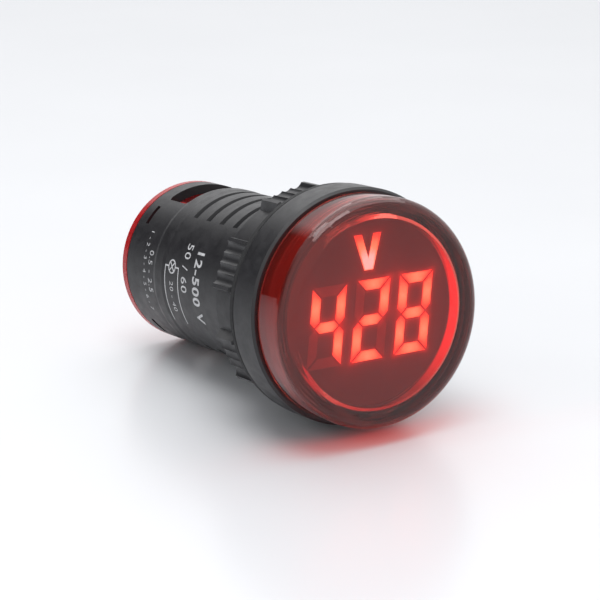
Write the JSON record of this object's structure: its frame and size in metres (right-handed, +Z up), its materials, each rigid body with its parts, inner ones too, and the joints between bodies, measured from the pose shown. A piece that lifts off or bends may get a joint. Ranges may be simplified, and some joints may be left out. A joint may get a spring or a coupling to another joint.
{
  "type": "digital panel meter",
  "caption": "Round digital voltmeter for a panel hole: black threaded barrel and bezel, clear red lens over a lit display, ring nut and screw terminals behind.",
  "frame": {"origin": "on the meter's axis, at the bezel's rear face, where the gasket and the panel bear", "axes": "+Y along the axis from the display to the terminals, +Z up the digits, +X to the right of the display as it is read"},
  "size_m": [0.0295, 0.048, 0.0294],
  "materials": {
    "black_plastic": "fine moulded texture",
    "nut_plastic": "fine moulded texture",
    "lens_red": "clear red polycarbonate, polished",
    "gasket_rubber": "matt",
    "base_red": "translucent red moulding, semi-gloss",
    "display_grey": "matt painted face",
    "segment_lit": "glowing resin",
    "segment_dark": "milky resin, not lit",
    "board_green": "solder mask",
    "led_chip": "lens of the chip",
    "chip_black": "moulded epoxy",
    "pin_brass": "gold flash",
    "film_yellow": "dipped box",
    "sleeve_blue": "shrink sleeve",
    "resistor_blue": "lacquer",
    "plate_brass": "tin plated brass, dull",
    "steel_zinc": "zinc plated"
  },
  "bodies": {
    "meter_body": {"housing": "black_plastic", "lens": "lens_red", "gasket": "gasket_rubber", "rear_base": "base_red", "display_frame": "display_grey", "hundreds_lit": "segment_lit", "hundreds_dark": "segment_dark", "tens_lit": "segment_lit", "tens_dark": "segment_dark", "units_lit": "segment_lit", "unit_sign": "segment_lit", "display_board": "board_green", "led_chips": "led_chip", "controller_chip": "chip_black", "chip_resistors": "chip_black", "pin_header": "chip_black", "header_pins": "pin_brass", "power_board": "board_green", "film_capacitor": "film_yellow", "electrolytic_capacitor": "sleeve_blue", "bridge_rectifier": "chip_black", "dropper_resistors": "resistor_blue", "terminal_plate_1": "plate_brass", "terminal_plate_2": "plate_brass"},
    "ring_nut": {"ring_nut": "nut_plastic"},
    "clamp_1": {"clamp_washer_1": "steel_zinc"},
    "screw_1": {"terminal_screw_1": "steel_zinc"},
    "clamp_2": {"clamp_washer_2": "steel_zinc"},
    "screw_2": {"terminal_screw_2": "steel_zinc"}
  },
  "joints": [
    {"name": "nut_travel", "type": "slide", "parent": "meter_body", "child": "ring_nut", "axis": [0, 1, 0], "range_m": [0, 0.037]},
    {"name": "clamp_1_slide", "type": "slide", "parent": "meter_body", "child": "clamp_1", "axis": [0, -1, 0], "range_m": [0, 0.0019]},
    {"name": "screw_1_turn", "type": "hinge", "parent": "clamp_1", "child": "screw_1", "pos_m": [0, 0.031, 0.0053], "axis": [0, -1, 0], "range_deg": [0, 1368.2]},
    {"name": "clamp_2_slide", "type": "slide", "parent": "meter_body", "child": "clamp_2", "axis": [0, -1, 0], "range_m": [0, 0.0019]},
    {"name": "screw_2_turn", "type": "hinge", "parent": "clamp_2", "child": "screw_2", "pos_m": [0, 0.031, -0.0053], "axis": [0, -1, 0], "range_deg": [0, 1368.2]}
  ],
  "couplings": [
    {"joint": "screw_1_turn", "follows": "clamp_1_slide", "rad_per_m": 12566},
    {"joint": "screw_2_turn", "follows": "clamp_2_slide", "rad_per_m": 12566}
  ]
}
